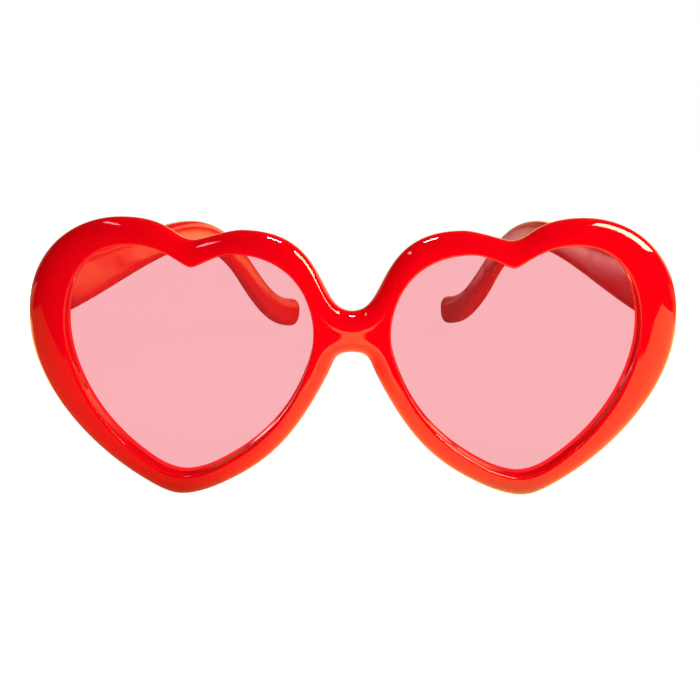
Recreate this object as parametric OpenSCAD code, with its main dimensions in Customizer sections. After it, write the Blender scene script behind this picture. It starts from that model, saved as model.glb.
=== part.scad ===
// Heart shaped sunglasses, standing open on a table as they are set down.
// The front stands upright on its two heart points, X runs across it, Y runs back along the
// temples and Z is up. The origin is on the table, in the middle of the width and the depth.
// Left and right are the wearer's, so the left side lies at +X.

/* [Lenses] */
// Width of one heart opening
lens_w = 56.8; // [50:0.1:60]
// Height of one heart opening
lens_h = 55.1; // [48:0.1:60]
// Thickness of a lens
lens_t = 1.6; // [1.2:0.1:2.2]
// Depth of the lens face behind the crest of the rim
lens_set = 3.2; // [2.6:0.1:3.6]
// Depth of the groove that holds the lens edge
groove_d = 0.9; // [0.5:0.1:1.2]
// Gap between the lens edge and the groove
lens_gap = 0.06; // [0.02:0.01:0.15]

/* [Front frame] */
// Distance between the two heart openings at the nose
bridge_w = 17.2; // [15:0.1:22]
// Height of the bridge
bridge_h = 9.3; // [8:0.1:12]
// Height of the middle of the bridge above the table
bridge_z = 41.6; // [38:0.1:44]
// Width of the rim over the lobes and the notch
rim_top = 5.6; // [5:0.1:8]
// Width of the rim beside the nose
rim_nose = 5; // [4:0.1:6]
// Width of the rim under the lens
rim_sole = 5.8; // [4:0.1:7]
// Width of the rim at the temples
rim_side = 9.8; // [8:0.1:11]
// Depth from the crest of the rim to its outer edge
rim_front = 3.4; // [2.8:0.1:4]
// Depth from the crest of the rim to its back
rim_t = 6; // [5.6:0.1:7]
// Radius of the small edge round the opening
edge_r = 0.6; // [0.3:0.1:0.8]
// Radius of the edge at the back of the rim
back_r = 1.5; // [1:0.1:1.8]
// Radius of the curve that the whole front is bent to
wrap_r = 320; // [260:1:600]
// Height that the moulded nose pads stand off the back
pad_h = 3.4; // [2:0.1:5]
// Length of a nose pad
pad_l = 17; // [12:0.5:22]
// Height of the middle of a nose pad above the table
pad_z = 27; // [22:0.5:30]

/* [Temples] */
// Height of a temple at its hinge
temple_h = 12.6; // [10:0.1:15]
// Thickness of a temple
temple_t = 4; // [3:0.1:5]
// Height of a temple where it turns down
temple_mid_h = 8.2; // [7:0.1:10]
// Height of the round end of a temple
tip_h = 10.2; // [8:0.1:12]
// Thickness of the round end of a temple
tip_t = 6; // [4:0.1:7]
// Distance from the hinge to the highest place of a temple
temple_reach = 53; // [45:1:70]
// Height of that place above the hinge
temple_rise = 1; // [-2:0.1:4]
// Distance from that place to the round end
hook_reach = 80; // [50:1:90]
// Distance that the end of a temple curls inwards
tip_curl = 6.3; // [2:0.1:8]
// Angle that the left temple stands folded in at rest
fold_left = 12.1; // [0:0.1:30]
// Angle that the right temple stands folded in at rest
fold_right = 18; // [0:0.1:30]

/* [Hinges] */
// Distance of a hinge axis from the outer edge of the rim
hinge_inset = 5.3; // [4.8:0.1:6]
// Height of the middle of a hinge above the table
hinge_z = 47.3; // [45:0.1:49]
// Height of a hinge
hinge_h = 8; // [7:0.1:9]
// Radius of the hinge knuckles
knuckle_r = 1.4; // [1.2:0.05:1.5]
// Thickness of the hinge plates
plate_t = 0.9; // [0.7:0.05:1.1]
// Radius of the hinge screw
screw_r = 0.7; // [0.6:0.05:0.8]
// Running gap round the hinge screw
screw_gap = 0.05; // [0.02:0.01:0.1]
// Gap between neighbouring knuckles
knuckle_gap = 0.12; // [0.08:0.02:0.3]
// Length of the plate in the front, from the axis
front_plate_l = 5; // [4:0.1:5.4]
// Length of the plate in the temple, from the axis
temple_plate_l = 16; // [11:0.5:22]
// Radius of the holes that the plates are anchored by
anchor_r = 0.6; // [0.4:0.05:0.8]

/* [Hidden] */
$fn = 48;

red = [0.93, 0.02, 0.03];
pink = [0.98, 0.69, 0.71, 0.6];
steel = [0.72, 0.73, 0.75];

// Length that every cut runs past the face it opens
overrun = 1;
// Gap round everything that is set into a pocket
seat_gap = 0.06;
// Gap between the end of a temple and the front
butt_gap = 0.3;
// Gap round the knuckles in the end of a temple
swing_gap = 0.4;

// Middle of a heart opening, measured from the middle of the front
lens_x = bridge_w / 2 + lens_w / 2;
// Distance of a hinge axis from the middle of the front
hinge_x = lens_x + lens_w / 2 + rim_side - hinge_inset;

// Outline of one heart opening, starting at the notch and running over the inner lobe, down
// the nose side, round the point and up the outer side. Each row gives across and up as
// shares of the opening, the angle that the outline runs at, and the handles of the curve
// before and after the point as shares of the distance to the next one.
lens_shares = [
    [-0.032, 0.917, 180, 0.14, 0.18],
    [-0.199, 0.973, 180, 0.41, 0.36],
    [-0.496, 0.711, 260, 0.47, 0.33],
    [-0.497, 0.604, 277, 0.33, 0.33],
    [-0.451, 0.445, 293, 0.33, 0.37],
    [-0.097, 0.051, 330, 0.34, 0.33],
    [0.053, 0, 360, 0.28, 0.36],
    [0.188, 0.051, 395, 0.33, 0.49],
    [0.5, 0.612, 450, 0.21, 0.43],
    [0.195, 1, 540, 0.41, 0.55]];
// Step from each of those points to the outer edge of the rim, as shares of the rim's width
rim_shares = [
    [-0.09, 0.98, 180, 0.29, 0.13],
    [-0.34, 0.86, 180, 0.3, 0.65],
    [0, 1, 180, 0.28, 0],
    [0, -1, 360, 0, 0.52],
    [-1.14, 0.18, 296, 0.48, 0.44],
    [-0.12, -0.91, 332, 0.36, 0.34],
    [0.21, -1, 360, 0.29, 0.31],
    [0.52, -0.83, 391, 0.33, 0.32],
    [1, 0.02, 450, 0.35, 0.45],
    [0.34, 1, 540, 0.36, 0.68]];
// Width of the rim that each point goes by
rim_widths = [rim_top, rim_top, bridge_h / 2, bridge_h / 2, rim_nose, rim_sole, rim_sole,
    rim_sole, rim_side, rim_top];
// Number of steps from each point to the next
outline_steps = [6, 14, 8, 7, 11, 5, 5, 13, 13, 8];
// The two points between which the outline runs down the middle of the bridge
bridge_top = 2;
bridge_bottom = 3;

points_n = len(lens_shares);
function next(i) = (i + 1) % points_n;
function heading(a) = [cos(a), sin(a)];

// Point at t on the curve from p to q that leaves at angle a and arrives at angle b, with
// handles that are shares of the distance
function curve(p, q, a, b, out_share, in_share, t) =
    let (d = norm(q - p), p1 = p + d * out_share * heading(a), q1 = q - d * in_share * heading(b))
    pow(1 - t, 3) * p + 3 * pow(1 - t, 2) * t * p1 + 3 * (1 - t) * t * t * q1 + t * t * t * q;

lens_points = [for (s = lens_shares) [lens_x + s[0] * lens_w, rim_sole + s[1] * lens_h]];
rim_points = [for (i = [0:points_n - 1])
    i == bridge_top || i == bridge_bottom
        ? [0, bridge_z + rim_shares[i][1] * bridge_h / 2]
        : lens_points[i] + rim_widths[i] * [rim_shares[i][0], rim_shares[i][1]]];

// Point at t of step i on an outline with the given points and table of shares
function outline(points, shares, i, t) =
    curve(points[i], points[next(i)], shares[i][2], shares[next(i)][2] + (i == points_n - 1 ? 360 : 0),
        shares[i][4], shares[next(i)][3], t);

// Stations round the heart, each as [point of the outline, share of the way to the next]
stations = [for (i = [0:points_n - 1]) for (k = [0:outline_steps[i] - 1]) [i, k / outline_steps[i]]];
station_n = len(stations);

// A station on the middle of the bridge has no outer edge: the other half carries on there
function is_middle(k) = stations[k][0] == bridge_top && stations[k][1] > 0;

lens_line = [for (s = stations) outline(lens_points, lens_shares, s[0], s[1])];
rim_line = [for (k = [0:station_n - 1])
    is_middle(k)
        ? [0, bridge_z + bridge_h / 2 * cos(180 * stations[k][1])]
        : outline(rim_points, rim_shares, stations[k][0], stations[k][1])];
width_line = [for (s = stations)
    let (e = (1 - cos(180 * s[1])) / 2) rim_widths[s[0]] * (1 - e) + rim_widths[next(s[0])] * e];

// Unit vector that points out of the opening at station k
function outward(k) =
    let (a = lens_line[(k + station_n - 1) % station_n], b = lens_line[(k + 1) % station_n],
        d = (b - a) / norm(b - a))
    [d[1], -d[0]];
function lens_offset(k, r) = lens_line[k] + r * outward(k);

// Depth at which the bent front lies at distance x from the middle
function wrap(x) = wrap_r - sqrt(wrap_r * wrap_r - x * x);

// Pieces of the outer edge, without the middle of the bridge
edge_pieces = [for (k = [0:station_n - 1]) if (!is_middle(k) && !is_middle((k + 1) % station_n))
    [rim_line[k], rim_line[(k + 1) % station_n]]];
function piece_distance(p, a, b) =
    let (d = b - a, t = max(0, min(1, (p - a) * d / (d * d)))) norm(p - a - t * d);
function edge_distance(p) = min([for (e = edge_pieces) piece_distance(p, e[0], e[1])]);

// Height that a quarter ellipse has lost at distance d from its edge, as a share
function fall(d, zone) = let (u = max(0, 1 - d / zone)) 1 - sqrt(max(0, 1 - u * u));

// The front is domed from the outer edge over this share of the rim's width
dome_share = 0.8;
function front_depth(p, width) = rim_front * fall(edge_distance(p), dome_share * width);
function back_depth(p) = rim_t - (rim_t - rim_front) * fall(edge_distance(p), back_r);

// Height of the nose pad on the back at height z, and at a share of the way in from the edge
pad_row_shares = [0, 0.5, 0.9, 1, 0.8, 0.35, 0];
function pad_rise(k, z, share) =
    let (i = stations[k][0], u = min(1, abs(z - pad_z) * 2 / pad_l))
    i == bridge_bottom || i == bridge_bottom + 1 ? pad_h * share * pow(cos(90 * u), 2) : 0;

// Shares of the way from the outer edge to the crest, on the front and on the back
front_row_shares = [0, 0.03, 0.1, 0.2, 0.33, 0.5, 0.74, 1];
back_row_shares = [0, 0.05, 0.16, 0.32, 0.52, 0.76, 1];
front_n = len(front_row_shares);
back_n = len(back_row_shares);

function at_depth(p, y) = [p[0], wrap(p[0]) + y, p[1]];
function between(p, q, share) = p + (q - p) * share;

// One station of the rim, from the outer edge over the front, down into the opening, round the
// lens groove and back to the outer edge behind
function rim_section(k) =
    let (edge = rim_line[k], crest = lens_offset(k, edge_r),
        near = lens_set - lens_gap, far = lens_set + lens_t + lens_gap)
    concat(
        [for (s = front_row_shares) let (p = between(edge, crest, s))
            at_depth(p, front_depth(p, width_line[k]))],
        [at_depth(lens_offset(k, edge_r * (1 - sin(45))), edge_r * (1 - cos(45))),
            at_depth(lens_line[k], edge_r),
            at_depth(lens_line[k], near),
            at_depth(lens_offset(k, groove_d), near),
            at_depth(lens_offset(k, groove_d), far),
            at_depth(lens_line[k], far)],
        [for (j = [back_n - 1:-1:0]) let (p = between(edge, crest, back_row_shares[j]))
            at_depth(p, back_depth(p) + pad_rise(k, p[1], pad_row_shares[j]))]);
section_n = front_n + 6 + back_n;

// Number of point j of station k in the half on the given side. The last point closes on the
// first, and points on the middle plane belong to both halves.
function point_number(side, k, j) =
    let (row = j == section_n - 1 && !is_middle(k) ? 0 : j,
        shared = rim_line[k][0] == 0 && (row == 0 || row == section_n - 1))
    (shared ? 0 : side) * station_n * section_n + k * section_n + row;
function two_triangles(a, b, c, d, side) =
    side == 0 ? [[a, c, b], [a, d, c]] : [[a, b, c], [a, c, d]];

module rim_halves() {
    half = [for (k = [0:station_n - 1]) each rim_section(k)];
    polyhedron(
        points = concat(half, [for (p = half) [-p[0], p[1], p[2]]]),
        faces = [for (side = [0, 1]) for (k = [0:station_n - 1]) for (j = [0:section_n - 2])
            let (m = (k + 1) % station_n,
                corners = [point_number(side, k, j), point_number(side, m, j),
                    point_number(side, m, j + 1), point_number(side, k, j + 1)])
            each [for (t = two_triangles(corners[0], corners[1], corners[2], corners[3], side))
                if (t[0] != t[1] && t[1] != t[2] && t[0] != t[2]) t]]);
}

// Depth of the flat end of the boss behind the rim that each hinge stands on
boss_y = wrap(hinge_x + temple_t) + rim_t + plate_t;
boss_h = hinge_h + 2 * plate_t;
// The knuckles clear the boss by the gap that they have between each other
hinge_y = boss_y + knuckle_r + knuckle_gap;
knuckle_h = hinge_h / 3 - knuckle_gap;
// Inner face of a temple, measured from the hinge axis. The hollow breaks through it.
inner_x = -knuckle_r + plate_t / 6;

// Places a child at the hinge of one side, drawn for the left side with the axis as origin
module at_hinge(side) {
    if (side > 0) translate([hinge_x, hinge_y, hinge_z]) children();
    else mirror([1, 0, 0]) translate([hinge_x, hinge_y, hinge_z]) children();
}
// The same, turned in with the temple of that side
module at_temple(side) {
    at_hinge(side) rotate([0, 0, side > 0 ? fold_left : fold_right]) children();
}

// The boss, with rounded edges, kept inside the outer edge of the rim
module hinge_boss(side) {
    w = temple_t;
    r = plate_t;
    intersection() {
        at_hinge(side) translate([inner_x, -knuckle_r - knuckle_gap, 0]) rotate([90, 0, 0])
            linear_extrude(rim_t / 2 + boss_y - wrap(hinge_x) - rim_t) translate([0, -boss_h / 2]) union() {
                translate([r, 0]) square([w - 2 * r, boss_h]);
                translate([0, r]) square([w, boss_h - 2 * r]);
                for (x = [r, w - r], z = [r, boss_h - r]) translate([x, z]) circle(r);
            }
        mirror([side > 0 ? 0 : 1, 0, 0]) rotate([90, 0, 0]) translate([0, 0, -2 * boss_y])
            linear_extrude(2 * boss_y) offset(delta = -back_r / 2) polygon(rim_line);
    }
}

// Plate from y = 0 to length l with its anchor holes, widened by a gap all round
module hinge_plate(x, l, h, gap) {
    difference() {
        translate([x - gap, 0, -h / 2 - gap]) cube([plate_t + 2 * gap, l + gap, h + 2 * gap]);
        if (gap == 0) for (z = [-1, 1]) translate([x - overrun, l - 2 * anchor_r, z * h / 4])
            rotate([0, 90, 0]) cylinder(r = anchor_r, h = plate_t + 2 * overrun);
    }
}
module front_plate(gap) {
    mirror([0, 1, 0]) hinge_plate(-plate_t / 2, front_plate_l, hinge_h, gap);
}

module front_frame() {
    color(red) difference() {
        union() {
            rim_halves();
            for (side = [-1, 1]) hinge_boss(side);
        }
        for (side = [-1, 1]) at_hinge(side) front_plate(seat_gap);
    }
}

// A lens: the heart outline cut from a sheet bent to the same curve as the front
module lens(side) {
    outline_2d = [for (k = [0:station_n - 1]) lens_offset(k, groove_d - lens_gap)];
    tall = rim_sole + lens_h + 2 * groove_d;
    mirror([side > 0 ? 0 : 1, 0, 0]) color(pink) intersection() {
        rotate([90, 0, 0]) translate([0, 0, -wrap_r]) linear_extrude(wrap_r) polygon(outline_2d);
        difference() {
            translate([0, wrap_r + lens_set, 0]) cylinder(r = wrap_r, h = tall, $fn = 360);
            translate([0, wrap_r + lens_set + lens_t, -overrun])
                cylinder(r = wrap_r, h = tall + 2 * overrun, $fn = 360);
        }
    }
}

// Middle line of a temple seen from the side, as distance behind the hinge axis and height
// above the table: level at the hinge, down over the ear and nearly level in the round end
temple_end_y = butt_gap - knuckle_r - knuckle_gap;
bend_share = 0.65;
bend_height_share = 0.57;
temple_line = [
    [temple_end_y, hinge_z],
    [temple_end_y + temple_reach, hinge_z + temple_rise],
    [temple_end_y + temple_reach + bend_share * hook_reach, bend_height_share * hinge_z],
    [temple_end_y + temple_reach + hook_reach, tip_h / 2]];
temple_angles = [0, 0, -48, -14];
temple_handle_shares = [[0, 0.33], [0.33, 0.4], [0.36, 0.42], [0.36, 0]];
temple_steps = [7, 12, 14];
temple_side_n = 20;

// Stations of a temple as [place, angle, share of the way along]
temple_stations = concat(
    [for (i = [0:2]) for (k = [0:temple_steps[i] - 1]) temple_place(i, k / temple_steps[i])],
    [temple_place(2, 1)]);
function temple_place(i, t) =
    let (p = temple_curve(i, t), q = temple_curve(i, t + 0.001), r = temple_curve(i, t - 0.001),
        d = q - r)
    [p, atan2(d[1], d[0]), (i + t) / 3];
function temple_curve(i, t) =
    curve(temple_line[i], temple_line[i + 1], temple_angles[i], temple_angles[i + 1],
        temple_handle_shares[i][1], temple_handle_shares[i + 1][0], t);
function ease(t) = t * t * (3 - 2 * t);
function blend(a, b, t) = a + (b - a) * ease(max(0, min(1, t)));

// Half height, half thickness, inward curl and squareness along the temple
function temple_half_h(u) =
    u < 1 / 3 ? blend(temple_h, temple_mid_h, 3 * u) / 2
        : blend(temple_mid_h, tip_h, (u - 0.75) * 4) / 2;
function temple_half_t(u) = blend(temple_t, tip_t, (u - 0.55) / 0.25) / 2;
function temple_curl(u) = tip_curl * pow(max(0, (u - 0.45) / 0.55), 1.7);
function squareness(u) = blend(0.32, 0.75, u * 1.4);

// Cross section with its share of full size, for the body and for the rounded end
function temple_section(s, size_share, push) =
    let (u = s[2], h = temple_half_h(u) * size_share, w = temple_half_t(u) * (0.25 + 0.75 * size_share),
        e = squareness(u), mid = inner_x + temple_t / 2 - temple_curl(u),
        n = heading(s[1] + 90), f = push * heading(s[1]))
    [for (k = [0:temple_side_n - 1])
        let (a = 360 * (k + 0.5) / temple_side_n, c = cos(a), v = sin(a),
            x = w * sign(c) * pow(abs(c), e), z = h * sign(v) * pow(abs(v), e),
            p = s[0] + z * n + f)
        [mid + x, p[0], p[1] - hinge_z]];
temple_last = temple_stations[len(temple_stations) - 1];
temple_sections = concat(
    [for (s = temple_stations) temple_section(s, 1, 0)],
    [for (a = [20:20:80]) temple_section(temple_last, cos(a), sin(a) * tip_h / 2)]);

module temple_blank() {
    n = len(temple_sections);
    m = temple_side_n;
    polyhedron(
        points = [for (s = temple_sections) each s],
        faces = concat(
            [for (k = [0:n - 2]) for (j = [0:m - 1])
                let (a = k * m + j, b = k * m + (j + 1) % m)
                each [[a, b + m, a + m], [a, b, b + m]]],
            [for (j = [1:m - 2]) [0, j + 1, j]],
            [for (j = [1:m - 2]) let (z = (n - 1) * m) [z, z + j, z + j + 1]]));
}

// The end of a temple has a hollow for the knuckles, open at the top for the screw and lower
// than the boss at the bottom, and a slot for the plate
module temple(side) {
    color(red) at_temple(side) difference() {
        temple_blank();
        translate([0, 0, -boss_h / 2 - swing_gap])
            cylinder(r = knuckle_r + swing_gap, h = boss_h / 2 + swing_gap + temple_h);
        temple_plate(seat_gap);
    }
}

// One knuckle of the hinge, with its bottom at height z
module knuckle(z) {
    translate([0, 0, z]) cylinder(r = knuckle_r, h = knuckle_h);
}
module screw_bore() {
    translate([0, 0, -hinge_h]) cylinder(r = screw_r + screw_gap, h = 2 * hinge_h);
}

// Hinge half in the front: a plate in the boss with the upper and the lower knuckle
module front_hinge(side) {
    color(steel) at_hinge(side) difference() {
        union() {
            front_plate(0);
            knuckle(-hinge_h / 2);
            knuckle(hinge_h / 2 - knuckle_h);
        }
        screw_bore();
        translate([-knuckle_r, -knuckle_r - knuckle_gap, -hinge_h / 2 + knuckle_h])
            cube([2 * knuckle_r, knuckle_r + knuckle_gap + overrun, hinge_h - 2 * knuckle_h]);
    }
}

// Plate in a temple, which starts clear of the knuckles on the front
plate_h = 0.75 * hinge_h;
module temple_plate(gap) {
    start = gap == 0 ? knuckle_r + swing_gap : 0;
    translate([0, start, 0]) hinge_plate(0, temple_plate_l - start, plate_h, gap);
}

// Hinge half in a temple: a plate in the temple with the middle knuckle
module temple_hinge(side) {
    color(steel) at_temple(side) difference() {
        union() {
            temple_plate(0);
            translate([0, 0, -knuckle_h / 2]) cube([plate_t, knuckle_r + swing_gap + overrun, knuckle_h]);
            knuckle(-knuckle_h / 2);
        }
        screw_bore();
    }
}

// Screw with a slotted cheese head, down through all three knuckles
screw_head_r = knuckle_r - screw_gap;
screw_head_h = screw_r;
module hinge_screw(side) {
    color(steel) at_hinge(side) difference() {
        union() {
            translate([0, 0, -hinge_h / 2]) cylinder(r = screw_r, h = hinge_h + screw_head_h / 2);
            translate([0, 0, hinge_h / 2]) cylinder(r = screw_head_r, h = screw_head_h);
        }
        translate([-knuckle_r, -screw_r / 4, hinge_h / 2 + screw_head_h / 2])
            cube([2 * knuckle_r, screw_r / 2, screw_head_h]);
    }
}

// Depth of the whole pair, from the bridge to the end of the temple that reaches furthest
function reach(fold) = max([for (s = temple_sections) for (p = s) p[0] * sin(fold) + p[1] * cos(fold)]);
overall_depth = hinge_y + max(reach(fold_left), reach(fold_right));
module in_frame() {
    translate([0, -overall_depth / 2, 0]) children();
}

in_frame() front_frame();
in_frame() lens(1);  // lens_left
in_frame() lens(-1);  // lens_right
in_frame() temple(1);  // temple_left
in_frame() temple(-1);  // temple_right
in_frame() front_hinge(1);  // front_hinge_left
in_frame() front_hinge(-1);  // front_hinge_right
in_frame() temple_hinge(1);  // temple_hinge_left
in_frame() temple_hinge(-1);  // temple_hinge_right
in_frame() hinge_screw(1);  // hinge_screw_left
in_frame() hinge_screw(-1);  // hinge_screw_right
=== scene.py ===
import bpy
import bmesh
import math
import numpy as np
from mathutils import Matrix, Vector


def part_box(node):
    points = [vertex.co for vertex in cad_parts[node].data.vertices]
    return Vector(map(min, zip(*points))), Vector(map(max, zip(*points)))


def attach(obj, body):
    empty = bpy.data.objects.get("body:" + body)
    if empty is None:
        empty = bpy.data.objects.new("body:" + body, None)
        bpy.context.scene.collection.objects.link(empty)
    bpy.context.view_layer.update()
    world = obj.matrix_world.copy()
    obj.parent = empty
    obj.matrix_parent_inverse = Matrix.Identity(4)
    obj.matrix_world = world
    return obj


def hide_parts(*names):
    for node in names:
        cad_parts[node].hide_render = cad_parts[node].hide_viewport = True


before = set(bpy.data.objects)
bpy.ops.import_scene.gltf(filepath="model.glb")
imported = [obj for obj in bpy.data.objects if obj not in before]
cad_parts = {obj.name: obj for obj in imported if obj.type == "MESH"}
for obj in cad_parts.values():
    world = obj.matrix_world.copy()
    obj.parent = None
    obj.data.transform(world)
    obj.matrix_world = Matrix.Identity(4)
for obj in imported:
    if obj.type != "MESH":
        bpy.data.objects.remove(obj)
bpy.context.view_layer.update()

# ---------------------------------------------------------------- front
# One injection moulding of red plastic: a domed rim round two heart openings, with the bridge,
# the lens groove and the nose pads. The wearer's left half is shaped from rows of points round
# its opening, and the other half mirrors it. Sizes are in millimetres.
MM = 0.001
LENS_W, LENS_H, LENS_X = 56.8, 55.1, 37.0
RIM_TOP, RIM_NOSE, RIM_SOLE, RIM_SIDE = 5.6, 5.0, 5.8, 9.8
BRIDGE_H, BRIDGE_Z = 9.3, 41.6
RIM_FRONT, RIM_T, EDGE_R, BACK_R = 3.4, 6.0, 0.6, 1.5
LENS_SET, LENS_T, GROOVE_D, LENS_GAP = 3.2, 1.6, 0.9, 0.06
WRAP_R, DOME_SHARE = 320.0, 0.8
PAD_H, PAD_L, PAD_Z = 3.4, 17.0, 27.0
FRONT_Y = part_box("front_frame")[0].y / MM

# Nodes of the heart opening: place as shares of its width and height, direction of the outline
# in degrees, and the pull of that direction on arriving and on leaving
LENS_NODES = [(-0.032, 0.917, 180, 0.14, 0.18), (-0.199, 0.973, 180, 0.41, 0.36),
              (-0.496, 0.711, 260, 0.47, 0.33), (-0.497, 0.604, 277, 0.33, 0.33),
              (-0.451, 0.445, 293, 0.33, 0.37), (-0.097, 0.051, 330, 0.34, 0.33),
              (0.053, 0.0, 360, 0.28, 0.36), (0.188, 0.051, 395, 0.33, 0.49),
              (0.5, 0.612, 450, 0.21, 0.43), (0.195, 1.0, 540, 0.41, 0.55)]
# Nodes of the outer edge: distance from the opening's node in widths of the rim there, and the
# rest as above. The two at the bridge lie on the middle line, above and below BRIDGE_Z.
RIM_NODES = [(-0.09, 0.98, 180, 0.29, 0.13), (-0.34, 0.86, 180, 0.3, 0.65),
             (0, 1, 180, 0.28, 0), (0, -1, 360, 0, 0.52),
             (-1.14, 0.18, 296, 0.48, 0.44), (-0.12, -0.91, 332, 0.36, 0.34),
             (0.21, -1, 360, 0.29, 0.31), (0.52, -0.83, 391, 0.33, 0.32),
             (1, 0.02, 450, 0.35, 0.45), (0.34, 1, 540, 0.36, 0.68)]
# Width of the rim at each node, and how many points go from it towards the next
WIDTHS = [RIM_TOP, RIM_TOP, BRIDGE_H / 2, BRIDGE_H / 2, RIM_NOSE, RIM_SOLE, RIM_SOLE,
          RIM_SOLE, RIM_SIDE, RIM_TOP]
STEPS = [16, 36, 20, 18, 30, 14, 14, 36, 36, 22]
BRIDGE_TOP, BRIDGE_BOTTOM = 2, 3

# Rows of points over the dome and over the back, crowded towards the outer edge, and round the
# small edge at the opening. The pad's height is given across the rim, from its outer edge in.
DOME_ROWS, BACK_ROWS, CROWDING = 21, 19, 1.25
EDGE_ANGLES = (22.5, 45, 67.5, 90)
PAD_SHARES = [0, 0.05, 0.16, 0.32, 0.52, 0.76, 1]
PAD_HEIGHTS = [0, 0.5, 0.9, 1, 0.8, 0.35, 0]
# Points closer than this, in metres, are one
WELD = 1e-7


def curve(p, q, a, b, leave, arrive, t):
    """Point at t on the curve from p to q that leaves at angle a and arrives at angle b."""
    d = np.linalg.norm(q - p)
    p1 = p + d * leave * np.array([math.cos(math.radians(a)), math.sin(math.radians(a))])
    q1 = q - d * arrive * np.array([math.cos(math.radians(b)), math.sin(math.radians(b))])
    return (1 - t) ** 3 * p + 3 * (1 - t) ** 2 * t * p1 + 3 * (1 - t) * t * t * q1 + t ** 3 * q


def outline(points, nodes, i, t):
    """Point at t between node i of a closed outline and the next."""
    j = (i + 1) % len(points)
    turn = 360 if i == len(points) - 1 else 0
    return curve(points[i], points[j], nodes[i][2], nodes[j][2] + turn, nodes[i][4],
                 nodes[j][3], t)


def wrap(x):
    """How far the curve of the front across the face sets x back."""
    return WRAP_R - np.sqrt(WRAP_R ** 2 - x * x)


def bent(p, depth, side=1):
    """Points of the flat drawing at a depth behind the front's face, in metres."""
    return np.stack([side * p[:, 0], wrap(p[:, 0]) + depth + FRONT_Y, p[:, 1]], 1) * MM


def fall(d, zone):
    """Round fall towards an edge at a distance d: 0 outside the zone and 1 on the edge."""
    u = np.clip(1 - d / zone, 0, None)
    return 1 - np.sqrt(np.clip(1 - u * u, 0, None))


lens_points = [np.array([LENS_X + s[0] * LENS_W, RIM_SOLE + s[1] * LENS_H]) for s in LENS_NODES]
rim_points = [np.array([0.0, BRIDGE_Z + RIM_NODES[i][1] * BRIDGE_H / 2])
              if i in (BRIDGE_TOP, BRIDGE_BOTTOM)
              else lens_points[i] + WIDTHS[i] * np.array(RIM_NODES[i][:2])
              for i in range(len(LENS_NODES))]
stations = [(i, k / STEPS[i]) for i in range(len(STEPS)) for k in range(STEPS[i])]
count = len(stations)
middle = [i == BRIDGE_TOP and t > 0 for i, t in stations]
lens_line = np.array([outline(lens_points, LENS_NODES, i, t) for i, t in stations])
rim_line = np.array([[0, BRIDGE_Z + BRIDGE_H / 2 * math.cos(math.pi * t)] if m
                     else outline(rim_points, RIM_NODES, i, t)
                     for (i, t), m in zip(stations, middle)])
width_line = np.array([WIDTHS[i] + (WIDTHS[(i + 1) % len(WIDTHS)] - WIDTHS[i])
                       * (1 - math.cos(math.pi * t)) / 2 for i, t in stations])
along = np.roll(lens_line, -1, 0) - np.roll(lens_line, 1, 0)
along /= np.linalg.norm(along, axis=1)[:, None]
outward = np.stack([along[:, 1], -along[:, 0]], 1)
true_edge = [k for k in range(count) if not middle[k] and not middle[(k + 1) % count]]
edge_a = rim_line[true_edge]
edge_b = rim_line[[(k + 1) % count for k in true_edge]]


def edge_distance(p):
    """Distance of the points p from the outer edge of the rim."""
    d = edge_b - edge_a
    t = np.clip(((p[:, None] - edge_a) * d).sum(2) / (d * d).sum(1), 0, 1)
    return np.linalg.norm(p[:, None] - edge_a - t[:, :, None] * d, axis=2).min(1)


def rim_rows():
    """Rows of points round the rim: from the outer edge over the dome and through the groove,
    then over the back to the outer edge again."""
    crest = lens_line + EDGE_R * outward
    near, far = LENS_SET - LENS_GAP, LENS_SET + LENS_T + LENS_GAP
    rows = []
    for s in (1 - np.cos(np.linspace(0, math.pi, DOME_ROWS))) / 2:
        p = rim_line + (crest - rim_line) * s ** CROWDING
        rows.append(bent(p, RIM_FRONT * fall(edge_distance(p), DOME_SHARE * width_line)))
    for a in EDGE_ANGLES:
        p = lens_line + EDGE_R * (1 - math.sin(math.radians(a))) * outward
        rows.append(bent(p, EDGE_R * (1 - math.cos(math.radians(a)))))
    for offset, depth in ((0, (EDGE_R + near) / 2), (0, near), (GROOVE_D, near),
                          (GROOVE_D, far), (0, far)):
        rows.append(bent(lens_line + offset * outward, depth))
    by_nose = np.array([i in (BRIDGE_BOTTOM, BRIDGE_BOTTOM + 1) for i, t in stations])
    for s in (1 + np.cos(np.linspace(0, math.pi, BACK_ROWS))) / 2:
        share = s ** CROWDING
        p = rim_line + (crest - rim_line) * share
        depth = RIM_T - (RIM_T - RIM_FRONT) * fall(edge_distance(p), BACK_R)
        u = np.clip(abs(p[:, 1] - PAD_Z) * 2 / PAD_L, 0, 1)
        across = np.interp(share, PAD_SHARES, PAD_HEIGHTS)
        rows.append(bent(p, depth + by_nose * PAD_H * across * np.cos(math.pi / 2 * u) ** 2))
    return rows


def grid_through(rows):
    """A grid whose vertices are moved onto the given rows of points; its ends are welded."""
    bm = bmesh.new()
    m, n = len(rows), len(rows[0])
    rows = [np.vstack([r, r[:1]]) for r in rows]
    bmesh.ops.create_grid(bm, x_segments=n, y_segments=m - 1, size=1)
    for v in bm.verts:
        k = round((v.co.x + 1) / 2 * n)
        j = round((v.co.y + 1) / 2 * (m - 1))
        v.co = Vector(rows[j][k])
    bmesh.ops.remove_doubles(bm, verts=bm.verts, dist=WELD)
    return bm


def put(name, data):
    """Puts an object with this mesh, light or camera in the scene."""
    obj = bpy.data.objects.new(name, data)
    bpy.context.scene.collection.objects.link(obj)
    return obj


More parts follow.
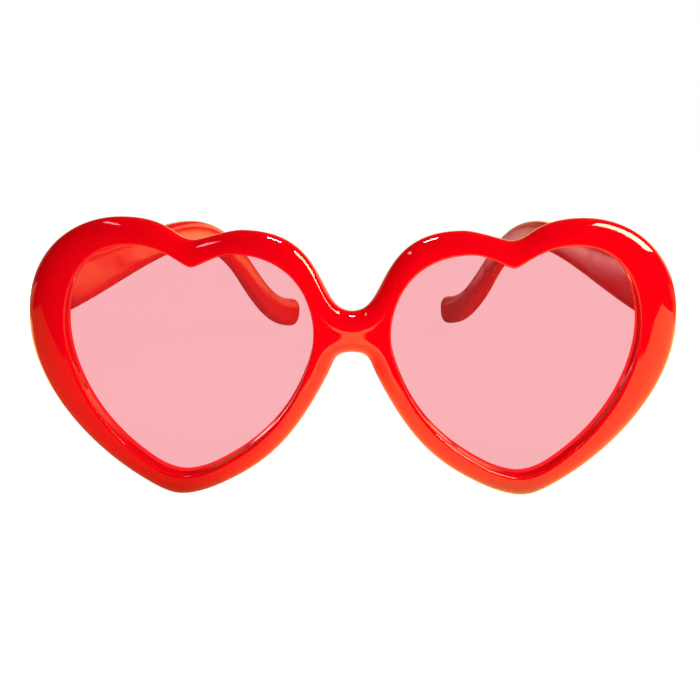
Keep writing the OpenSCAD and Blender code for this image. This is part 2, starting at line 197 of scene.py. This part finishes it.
def finish_piece(name, bm, body, material, smooth_angle=40):
    """Turns a bmesh into a shown piece that moves with a body."""
    bmesh.ops.recalc_face_normals(bm, faces=bm.faces)
    mesh = bpy.data.meshes.new(name)
    bm.to_mesh(mesh)
    bm.free()
    obj = put(name, mesh)
    mesh.materials.append(material)
    mesh.shade_smooth()
    mesh.set_sharp_from_angle(angle=math.radians(smooth_angle))
    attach(obj, body)
    return obj


def colour(code):
    """Linear colour of an sRGB hex value."""
    c = [int(code[i:i + 2], 16) / 255 for i in (0, 2, 4)]
    return [x / 12.92 if x <= 0.04045 else ((x + 0.055) / 1.055) ** 2.4 for x in c] + [1.0]


def add(tree, kind, inputs=None, **settings):
    """Adds a node with its settings, and with values, sockets or nodes on its inputs."""
    n = tree.nodes.new(kind)
    for key, value in settings.items():
        setattr(n, key, value)
    for key, value in (inputs or {}).items():
        if isinstance(value, bpy.types.Node):
            value = value.outputs[0]
        if isinstance(value, bpy.types.NodeSocket):
            tree.links.new(value, n.inputs[key])
        else:
            n.inputs[key].default_value = value
    return n


def new_material(name):
    """An empty material and its node tree."""
    m = bpy.data.materials.new(name)
    m.use_nodes = True
    m.node_tree.nodes.clear()
    return m, m.node_tree


def pattern(tree, size_mm, detail, stretch=(1, 1, 1)):
    """Noise whose features measure size_mm on the piece."""
    at = add(tree, "ShaderNodeTexCoord")
    scaled = add(tree, "ShaderNodeMapping", {"Vector": at.outputs["Object"], "Scale": stretch})
    return add(tree, "ShaderNodeTexNoise", {"Vector": scaled, "Scale": 1 / (size_mm * MM),
                                            "Detail": detail, "Roughness": 0.55})


def moulded_plastic(name, polish):
    """Injection moulded polycarbonate, coloured right through. It glows a little under the skin,
    and its gloss shows faint ripples from the mould, hairline scratches and small dull marks."""
    m, t = new_material(name)
    cloud = pattern(t, 18, 2)
    tone = add(t, "ShaderNodeMix", {"Factor": cloud, 6: colour("F0000E"), 7: colour("DE0010")},
               data_type="RGBA")
    marks = pattern(t, 7, 4)
    rough = add(t, "ShaderNodeMapRange", {"Value": marks, "From Min": 0.35, "From Max": 0.75,
                                          "To Min": polish, "To Max": 3 * polish})
    ripple = pattern(t, 2.4, 1)
    waves = add(t, "ShaderNodeBump", {"Height": ripple, "Strength": 0.1, "Distance": 0.004 * MM})
    # Real hairlines are a tenth as wide, too fine to show at this size
    scratch = pattern(t, 0.5, 3, (0.06, 0.5, 1))
    hairline = add(t, "ShaderNodeMapRange", {"Value": scratch, "From Min": 0.63, "From Max": 0.7,
                                             "To Min": 0.0, "To Max": 1.0})
    skin = add(t, "ShaderNodeBump", {"Height": hairline, "Strength": 0.05,
                                     "Distance": 0.004 * MM, "Normal": waves})
    shader = add(t, "ShaderNodeBsdfPrincipled", {
        "Base Color": tone.outputs[2], "Roughness": rough, "Normal": skin,
        "IOR": 1.49, "Specular IOR Level": 0.5, "Subsurface Weight": 0.12,
        "Subsurface Radius": (1.0, 0.12, 0.08), "Subsurface Scale": 1.2 * MM})
    add(t, "ShaderNodeOutputMaterial", {"Surface": shader})
    return m


# The front comes from a polished mould, so it mirrors its surroundings sharply
RED = moulded_plastic("polished_red_plastic", 0.02)

half = grid_through(rim_rows())
for v in half.verts:
    if abs(v.co.x) < WELD:
        v.co.x = 0
bmesh.ops.mirror(half, geom=half.verts[:] + half.edges[:] + half.faces[:], axis="X",
                 merge_dist=WELD)
inner = [f for f in half.faces if all(abs(v.co.x) < WELD for v in f.verts)]
bmesh.ops.delete(half, geom=inner, context="FACES")
front = finish_piece("front_moulding", half, "front", RED)
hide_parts("front_frame")

# ---------------------------------------------------------------- hinge bosses
# Two blocks of the same moulding behind the ends of the rim, which hold the hinge plates. The
# upper outer corner is cut off, where the rim is rounded, and the free edges are rounded.
HINGE_X, HINGE_Z, HINGE_H, PLATE_T, KNUCKLE_R = 69.9, 47.3, 8.0, 0.9, 1.4
TEMPLE_T = 4.0
INNER_X = -KNUCKLE_R + PLATE_T / 6
BOSS_Y = float(wrap(np.array(HINGE_X + TEMPLE_T))) + RIM_T + PLATE_T
BOSS_DEPTH = BOSS_Y - float(wrap(np.array(HINGE_X))) - RIM_T / 2
CORNER_AT, CORNER_WAY = (72.2, 0, 51.2), (0.86, 0, 0.5)
BOSS_EDGE_R = 0.35

for side, word in ((1, "left"), (-1, "right")):
    bm = bmesh.new()
    bmesh.ops.create_cube(bm, size=1)
    bmesh.ops.scale(bm, vec=(TEMPLE_T, BOSS_DEPTH, HINGE_H + 2 * PLATE_T), verts=bm.verts)
    bmesh.ops.translate(bm, vec=(INNER_X + TEMPLE_T / 2 + HINGE_X, BOSS_Y - BOSS_DEPTH / 2,
                                 HINGE_Z), verts=bm.verts)
    cut = bmesh.ops.bisect_plane(bm, geom=bm.verts[:] + bm.edges[:] + bm.faces[:],
                                 clear_outer=True, plane_co=CORNER_AT, plane_no=CORNER_WAY)
    bmesh.ops.holes_fill(bm, edges=[e for e in cut["geom_cut"]
                                    if isinstance(e, bmesh.types.BMEdge)])
    # The edges round the back face and those that run back to it
    free_edges = [e for e in bm.edges if max(v.co.y for v in e.verts) > BOSS_Y - 0.01
                  or abs(e.verts[0].co.y - e.verts[1].co.y) > 1]
    bmesh.ops.bevel(bm, geom=free_edges, offset=BOSS_EDGE_R, segments=3, profile=0.5,
                    affect="EDGES", material=-1)
    bmesh.ops.scale(bm, vec=(side * MM, MM, MM), verts=bm.verts)
    bmesh.ops.translate(bm, vec=(0, FRONT_Y * MM, 0), verts=bm.verts)
    finish_piece("hinge_boss_" + word, bm, "front", RED, 30)

# ---------------------------------------------------------------- temples
# Each temple is one moulding of the same plastic: tall and flat at the hinge, straight, then bent
# down over the ear to a thick round end that curls in. It is lofted along its middle line, and
# hollowed at the hinge so that the knuckles can turn.
KNUCKLE_GAP, SWING_GAP, BUTT_GAP = 0.12, 0.4, 0.3
HINGE_Y = BOSS_Y + KNUCKLE_R + KNUCKLE_GAP
TEMPLE_H, TEMPLE_MID_H, TEMPLE_REACH, TEMPLE_RISE, HOOK_REACH = 12.6, 8.2, 53.0, 1.0, 80.0
HOOK_MID, HOOK_MID_UP = 0.65, 0.57
TIP_H, TIP_T, TIP_CURL = 10.2, 6.0, 6.3
FOLDS = {"left": 12.1, "right": 18.0}

# The middle line seen from the side, its direction at each node in degrees, and the pulls
END_Y = BUTT_GAP - KNUCKLE_R - KNUCKLE_GAP
TEMPLE_LINE = [np.array(p) for p in (
    (END_Y, HINGE_Z), (END_Y + TEMPLE_REACH, HINGE_Z + TEMPLE_RISE),
    (END_Y + TEMPLE_REACH + HOOK_MID * HOOK_REACH, HOOK_MID_UP * HINGE_Z),
    (END_Y + TEMPLE_REACH + HOOK_REACH, TIP_H / 2))]
TEMPLE_ANGLES = [0, 0, -48, -14]
TEMPLE_PULLS = [(0, 0.33), (0.33, 0.4), (0.36, 0.42), (0.36, 0)]
TEMPLE_STEPS, RING_SIDES, NUDGE = [20, 32, 40], 40, 0.001

# Shares of the temple's length at which the middle height is reached, the end grows higher,
# grows thicker and curls in. The section goes from a rounded oblong to an oval.
MID_AT, TIP_FROM, THICK_FROM, THICK_OVER, CURL_FROM = 1 / 3, 0.75, 0.55, 0.25, 0.45
CURL_POWER, OBLONG, OVAL, OVAL_PACE, END_FLAT = 1.7, 0.32, 0.75, 1.4, 0.25


def ease(a, b, t):
    """Goes smoothly from a at 0 to b at 1."""
    t = min(max(t, 0), 1)
    return a + (b - a) * t * t * (3 - 2 * t)


def temple_ring(i, t, size=1.0, push=0.0):
    """One section of the temple, at t on part i of its middle line, as points measured from the
    hinge. The last ones shrink to size and are pushed on, which closes the round end."""
    def at(t):
        return curve(TEMPLE_LINE[i], TEMPLE_LINE[i + 1], TEMPLE_ANGLES[i], TEMPLE_ANGLES[i + 1],
                     TEMPLE_PULLS[i][1], TEMPLE_PULLS[i + 1][0], t)
    d = at(t + NUDGE) - at(t - NUDGE)
    d /= np.linalg.norm(d)
    u = (i + t) / 3
    if u < MID_AT:
        h = ease(TEMPLE_H, TEMPLE_MID_H, u / MID_AT) / 2
    else:
        h = ease(TEMPLE_MID_H, TIP_H, (u - TIP_FROM) / (1 - TIP_FROM)) / 2
    w = ease(TEMPLE_T, TIP_T, (u - THICK_FROM) / THICK_OVER) / 2
    w *= END_FLAT + (1 - END_FLAT) * size
    e = ease(OBLONG, OVAL, u * OVAL_PACE)
    curl = TIP_CURL * max(0, (u - CURL_FROM) / (1 - CURL_FROM)) ** CURL_POWER
    ring = []
    for k in range(RING_SIDES):
        a = 2 * math.pi * (k + 0.5) / RING_SIDES
        c, v = math.cos(a), math.sin(a)
        x = w * math.copysign(abs(c) ** e, c)
        z = h * size * math.copysign(abs(v) ** e, v)
        p = at(t) + z * np.array([-d[1], d[0]]) + push * d
        ring.append((INNER_X + TEMPLE_T / 2 - curl + x, p[0], p[1] - HINGE_Z))
    return np.array(ring)


def carve(obj, tool):
    """Cuts a tool out of a piece, keeps the result as the piece's mesh and removes the tool."""
    mod = obj.modifiers.new("cut", "BOOLEAN")
    mod.operation, mod.solver, mod.object = "DIFFERENCE", "EXACT", tool
    view = bpy.context.evaluated_depsgraph_get()
    carved = bpy.data.meshes.new_from_object(obj.evaluated_get(view))
    obj.modifiers.clear()
    obj.data = carved
    bpy.data.objects.remove(tool)


def turned(bm, side, word):
    """Moves a mesh drawn from the left hinge to its place on one side, folded as it rests."""
    fold = Matrix.Rotation(math.radians(FOLDS[word]), 3, "Z")
    bmesh.ops.rotate(bm, cent=(0, 0, 0), matrix=fold, verts=bm.verts)
    bmesh.ops.translate(bm, vec=(HINGE_X, HINGE_Y + FRONT_Y, HINGE_Z), verts=bm.verts)
    bmesh.ops.scale(bm, vec=(side * MM, MM, MM), verts=bm.verts)


# The temples have the satin skin of a mould that was only ground, so reflections blur on them
SATIN = moulded_plastic("satin_red_plastic", 0.1)

for side, word in ((1, "left"), (-1, "right")):
    rings = [temple_ring(i, k / n) for i, n in enumerate(TEMPLE_STEPS) for k in range(n)]
    rings += [temple_ring(2, 1, math.cos(math.radians(a)), math.sin(math.radians(a)) * TIP_H / 2)
              for a in range(0, 90, 10)]
    bm = grid_through(rings)
    bmesh.ops.holes_fill(bm, edges=[e for e in bm.edges if e.is_boundary])
    turned(bm, side, word)
    temple = finish_piece("temple_moulding_" + word, bm, "temple_" + word,
                          SATIN, 35)
    # The round hollow starts below the knuckles and is open at the top
    cutter = bmesh.new()
    below = HINGE_H / 2 + PLATE_T + SWING_GAP
    bmesh.ops.create_cone(cutter, cap_ends=True, segments=48, radius1=KNUCKLE_R + SWING_GAP,
                          radius2=KNUCKLE_R + SWING_GAP, depth=below + TEMPLE_H)
    bmesh.ops.translate(cutter, vec=(0, 0, (TEMPLE_H - below) / 2), verts=cutter.verts)
    turned(cutter, side, word)
    tool = finish_piece("cutter", cutter, "temple_" + word, RED)
    carve(temple, tool)
    temple.data.set_sharp_from_angle(angle=math.radians(35))
    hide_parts("temple_" + word)

# ---------------------------------------------------------------- lenses
# Each lens is cut from thin pink tinted plastic sheet, bent like the front, and sprung into the
# groove of its opening. Its cut rim is matt, and given a painted glow.
PANE_ROWS, HEART_UP = 7, 0.45


def tinted_lens(name):
    """Clear tinted acrylic sheet, polished on both faces. Each face takes its share of the tint
    and reflects a little, with faint dust on it."""
    m, t = new_material(name)
    clear = add(t, "ShaderNodeBsdfTransparent", {"Color": colour("FBD5D8")})
    dust = pattern(t, 0.9, 2)
    rough = add(t, "ShaderNodeMapRange", {"Value": dust, "From Min": 0.74, "From Max": 0.8,
                                          "To Min": 0.02, "To Max": 0.25})
    shine = add(t, "ShaderNodeBsdfPrincipled", {"Base Color": colour("F4AEB4"), "IOR": 1.5,
                                                "Roughness": rough, "Specular IOR Level": 0.5})
    film = add(t, "ShaderNodeFresnel", {"IOR": 1.32})
    sheet = add(t, "ShaderNodeMixShader", {0: film, 1: clear, 2: shine})
    add(t, "ShaderNodeOutputMaterial", {"Surface": sheet})
    return m


def edge_with_painted_glow(name):
    """The matt sawn rim of the sheet in its groove, with a painted glow: it emits red light of
    its own, which lifts this ring out of the shade it lies in."""
    m, t = new_material(name)
    saw_lines = pattern(t, 0.3, 2)
    bump = add(t, "ShaderNodeBump", {"Height": saw_lines, "Strength": 0.3,
                                     "Distance": 0.01 * MM})
    # The emission is painted light: a glow that stands in for light the shaded ring does not get
    shader = add(t, "ShaderNodeBsdfPrincipled", {
        "Base Color": colour("E02832"), "Roughness": 0.5, "Normal": bump,
        "Emission Color": colour("E02832"), "Emission Strength": 0.75})
    add(t, "ShaderNodeOutputMaterial", {"Surface": shader})
    return m


PINK = tinted_lens("pink_tinted_plastic")
# The sawn lens edge carries a painted glow
PAINTED_GLOW_EDGE = edge_with_painted_glow("sawn_lens_edge_painted_glow")

edge_line = lens_line + (GROOVE_D - LENS_GAP) * outward
heart = np.array([LENS_X, RIM_SOLE + HEART_UP * LENS_H])
shares = np.linspace(0, 1, PANE_ROWS)
sheet_rows = [(heart + (lens_line - heart) * s, LENS_SET) for s in shares]
sheet_rows += [(edge_line, LENS_SET), (edge_line, LENS_SET + LENS_T)]
sheet_rows += [(heart + (lens_line - heart) * s, LENS_SET + LENS_T) for s in shares[::-1]]
for side, word in ((1, "left"), (-1, "right")):
    bm = grid_through([bent(p, depth, side) for p, depth in sheet_rows])
    bmesh.ops.recalc_face_normals(bm, faces=bm.faces)
    # The rim and the ring of each face next to it, which is in the groove, get the sawn edge with
    # its painted glow
    rim = {v for f in bm.faces if abs(f.normal.y) < 0.5 for v in f.verts}
    for f in bm.faces:
        f.material_index = int(any(v in rim for v in f.verts))
    pane = finish_piece("lens_pane_" + word, bm, "front", PINK, 40)
    pane.data.materials.append(PAINTED_GLOW_EDGE)
    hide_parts("lens_" + word)

# ---------------------------------------------------------------- hinges
# Pressed steel hinges and turned screws with nickel plating. They are the exact solids, with
# their plates set in slots of the plastic, and only get their finish here.


def plated_steel(name):
    """Nickel plated pressed steel: bright, with fine lines from the press and dull spots."""
    m, t = new_material(name)
    press_lines = pattern(t, 0.12, 3, (1, 0.15, 1))
    spots = pattern(t, 0.8, 3)
    tone = add(t, "ShaderNodeMix", {"Factor": spots, 6: colour("C9C6C0"), 7: colour("A5A29B")},
               data_type="RGBA")
    rough = add(t, "ShaderNodeMapRange", {"Value": spots, "From Min": 0.3, "From Max": 0.7,
                                          "To Min": 0.18, "To Max": 0.36})
    bump = add(t, "ShaderNodeBump", {"Height": press_lines, "Strength": 0.3,
                                     "Distance": 0.006 * MM})
    shader = add(t, "ShaderNodeBsdfPrincipled", {"Base Color": tone.outputs[2], "Metallic": 1.0,
                                                 "Roughness": rough, "Normal": bump})
    add(t, "ShaderNodeOutputMaterial", {"Surface": shader})
    return m


STEEL = plated_steel("nickel_plated_steel")
for name in ("front_hinge", "temple_hinge", "hinge_screw"):
    for word in ("left", "right"):
        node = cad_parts[name + "_" + word]
        if node.material_slots:
            for s in node.material_slots:
                s.material = STEEL
        else:
            node.data.materials.append(STEEL)

# ---------------------------------------------------------------- stage, lights and camera
# A bright white table and backdrop, overexposed as in a product shot, so the camera sees plain
# white. The gloss of the plastic mirrors a strip of lit table before the pair, the table behind
# it, a pale horizon, a dark room elsewhere, and three lamps. Sizes are in metres.
FRONT = FRONT_Y * MM
HALF_TABLE = 1.5
# Brightness of what is mirrored where nothing is lit
DARK = 0.012


def soft_steps(tree, lines, steps):
    """The product of soft steps. Each says the line that it is measured along, where it starts
    and ends there, and the values before and after it."""
    product = None
    for line, start, end, before, after in steps:
        step = add(tree, "ShaderNodeMapRange", {
            "Value": lines[line], "From Min": start, "From Max": end, "To Min": before,
            "To Max": after}, interpolation_type="SMOOTHSTEP")
        if product is not None:
            step = add(tree, "ShaderNodeMath", {0: product, 1: step}, operation="MULTIPLY")
        product = step
    return product


world = bpy.data.worlds.new("studio")
bpy.context.scene.world = world
world.use_nodes = True
wt = world.node_tree
wt.nodes.clear()
path = add(wt, "ShaderNodeLightPath")
at = add(wt, "ShaderNodeTexCoord")
way = add(wt, "ShaderNodeSeparateXYZ", {"Vector": at.outputs["Generated"]}).outputs
room = add(wt, "ShaderNodeBackground", {
    "Color": colour("FFFCF7"), "Strength": soft_steps(wt, way, [("Y", -0.1, 0.4, 0.015, 0.55)])})
horizon = soft_steps(wt, way, [("Y", 0.3, 0.6, 0.0, 1.0), ("Z", 0.1, 0.3, 1.0, 0.03),
                               ("X", -0.7, 0.5, 0.4, 1.5)])
horizon = add(wt, "ShaderNodeMath", {0: horizon, 1: DARK}, operation="ADD")
mirrored = add(wt, "ShaderNodeBackground", {"Color": colour("FFF9AA"), "Strength": horizon})
white = add(wt, "ShaderNodeBackground", {"Color": colour("FFFFFF"), "Strength": 1.0})
pick = add(wt, "ShaderNodeMixShader", {0: path.outputs["Is Glossy Ray"], 1: room, 2: mirrored})
pick = add(wt, "ShaderNodeMixShader", {0: path.outputs["Is Camera Ray"], 1: pick, 2: white})
add(wt, "ShaderNodeOutputWorld", {"Surface": pick})

bm = bmesh.new()
bmesh.ops.create_grid(bm, x_segments=4, y_segments=4, size=HALF_TABLE)
floor_mesh = bpy.data.meshes.new("table_top")
bm.to_mesh(floor_mesh)
bm.free()
floor = put("table_top", floor_mesh)
table, t = new_material("white_table_sheet")
path = add(t, "ShaderNodeLightPath")
at = add(t, "ShaderNodeTexCoord")
place = add(t, "ShaderNodeSeparateXYZ", {"Vector": at.outputs["Object"]})
sheet = add(t, "ShaderNodeBsdfDiffuse", {"Color": colour("F6F4F2")})

# The camera sees white and the faintest shadow of the pair
soft = add(t, "ShaderNodeBsdfDiffuse", {"Color": colour("383838")})
seen = add(t, "ShaderNodeEmission", {"Color": colour("FFFFFF"), "Strength": 0.985})
seen_all = add(t, "ShaderNodeAddShader", {0: soft, 1: seen})

# Lines for the steps: across, off the middle, back from the front, in from the slanting border
# of the lit strip, and out from the border of the small lit patch before the bridge
lines = {"x": place.outputs["X"]}
lines["off"] = add(t, "ShaderNodeMath", {0: place.outputs["X"]}, operation="ABSOLUTE")
lines["back"] = add(t, "ShaderNodeMath", {0: place.outputs["Y"], 1: FRONT},
                    operation="SUBTRACT")
border = soft_steps(t, lines, [("x", 0.12, 0.2, -0.067, -0.089)])
lines["strip"] = add(t, "ShaderNodeMath", {0: lines["back"], 1: border}, operation="SUBTRACT")
border = soft_steps(t, lines, [("back", -0.142, -0.130, 0.010, 0.005)])
lines["patch"] = add(t, "ShaderNodeMath", {0: lines["off"], 1: border}, operation="SUBTRACT")

# Brightness of the table in the gloss: the strip before the pair, the table behind it, the part
# of that on the viewer's left, which is stronger and paler, and the patch
before = soft_steps(t, lines, [("x", -0.045, 0.0, 0.27, 1.55), ("strip", -0.003, 0.003, 0.0, 1.0),
                               ("off", 0.285, 0.295, 1.0, 0.0)])
behind = soft_steps(t, lines, [("off", 0.06, 0.078, 0.05, 2.4), ("back", 0.24, 0.3, 1.0, 0.3),
                               ("off", 0.2, 0.25, 1.0, 0.15)])
paler = soft_steps(t, lines, [("x", -0.05, -0.03, 1.0, 0.0), ("back", 0.1, 0.14, 0.0, 1.0)])
patch = soft_steps(t, lines, [("patch", 0.0, 0.002, 2.4, 0.0), ("back", -0.19, -0.18, 0.0, 1.0),
                              ("back", -0.05, -0.04, 1.0, 0.0)])
lift = add(t, "ShaderNodeMath", {0: paler, 1: 0.6, 2: 1.0}, operation="MULTIPLY_ADD")
behind = add(t, "ShaderNodeMath", {0: behind, 1: lift}, operation="MULTIPLY")
power = add(t, "ShaderNodeMix", {"Factor": soft_steps(t, lines, [("back", 0.03, 0.06, 0.0, 1.0)]),
                                 2: before, 3: behind}, data_type="FLOAT")
power = add(t, "ShaderNodeMath", {0: power, 1: patch}, operation="MAXIMUM")
power = add(t, "ShaderNodeMath", {0: power, 1: DARK}, operation="ADD")
tone = add(t, "ShaderNodeMix", {"Factor": paler, 6: colour("FFF995"), 7: colour("FFF9ED")},
           data_type="RGBA")
glow = add(t, "ShaderNodeEmission", {"Color": tone.outputs[2], "Strength": power})
pick = add(t, "ShaderNodeMixShader", {0: path.outputs["Is Camera Ray"], 1: sheet, 2: seen_all})
pick = add(t, "ShaderNodeMixShader", {0: path.outputs["Is Glossy Ray"], 1: pick, 2: glow})
add(t, "ShaderNodeOutputMaterial", {"Surface": pick})
floor_mesh.materials.append(table)


def softbox(name, place, target, size, power, tint="FFFFFF", gloss=False):
    """A rectangular lamp at a place, turned to a target. The plastic either mirrors it and is
    not lit by it, or is lit by it and doesn't mirror it."""
    data = bpy.data.lights.new(name, "AREA")
    data.shape, data.size, data.size_y, data.energy = "RECTANGLE", size[0], size[1], power
    data.color = colour(tint)[:3]
    lamp = put(name, data)
    lamp.location = place
    lamp.rotation_euler = (Vector(target) - Vector(place)).to_track_quat("-Z", "Y").to_euler()
    lamp.visible_glossy = gloss
    lamp.visible_diffuse = not gloss
    lamp.visible_transmission = False
    lamp.visible_camera = False


# Each lamp's place, target and size in metres, and its power in watts. These light the plastic:
softbox("key", (0.55, -0.45, 0.75), (0, -0.05, 0.03), (0.3, 0.3), 6.8)
softbox("fill", (-0.1, -0.9, 0.35), (0, -0.05, 0.03), (0.5, 0.3), 1.3)
softbox("top", (0.1, 0.25, 0.9), (0, 0, 0.03), (0.6, 0.4), 1.2)
softbox("over_bridge", (0.03, FRONT - 0.03, 0.2), (0.03, FRONT, 0.05), (0.08, 0.08), 0.04)
softbox("side", (0.3, FRONT + 0.12, 0.2), (-0.04, FRONT + 0.1, 0.03), (0.15, 0.15), 0.2)
softbox("table_bounce", (0, FRONT - 0.05, 0.001), (0, FRONT - 0.05, 1), (0.22, 0.08), 0.09)
# These are mirrored: the long streak on one lobe, the short ones on the other, and the dots on
# the bridge
softbox("window", (0.25, FRONT, 0.205), (0.05, FRONT, 0.06), (0.10, 0.2), 1.25,
        "FFFFD8", gloss=True)
softbox("lamp_left", (-0.18, FRONT - 0.025, 0.26), (0, FRONT, 0.05), (0.12, 0.02), 0.06,
        "FFE4F4", gloss=True)
softbox("lamp_above", (0, FRONT + 0.008, 0.12), (0, FRONT + 0.008, 0.05), (0.02, 0.012), 0.03,
        gloss=True)

# The camera as fitted to the photograph: place in mm from the front's face, turns in degrees
CAMERA_X, CAMERA_BEFORE, CAMERA_UP = 0.54, 190, 103.8
CAMERA_YAW, CAMERA_TILT, CAMERA_ROLL = 0.30, 71.0, 0.13
FOCAL_PX, IMAGE_PX, SENSOR = 909.6, 700, 36
cam_data = bpy.data.cameras.new("camera")
cam_data.sensor_width = SENSOR
cam_data.lens = FOCAL_PX / IMAGE_PX * SENSOR
cam_data.clip_start, cam_data.clip_end = 0.01, 20
camera = put("camera", cam_data)
camera.matrix_world = (
    Matrix.Translation((CAMERA_X * MM, (FRONT_Y - CAMERA_BEFORE) * MM, CAMERA_UP * MM))
    @ Matrix.Rotation(math.radians(CAMERA_YAW), 4, "Z")
    @ Matrix.Rotation(math.radians(CAMERA_TILT), 4, "X")
    @ Matrix.Rotation(math.radians(CAMERA_ROLL), 4, "Z"))
bpy.context.scene.camera = camera
bpy.context.scene.view_settings.view_transform = "Standard"
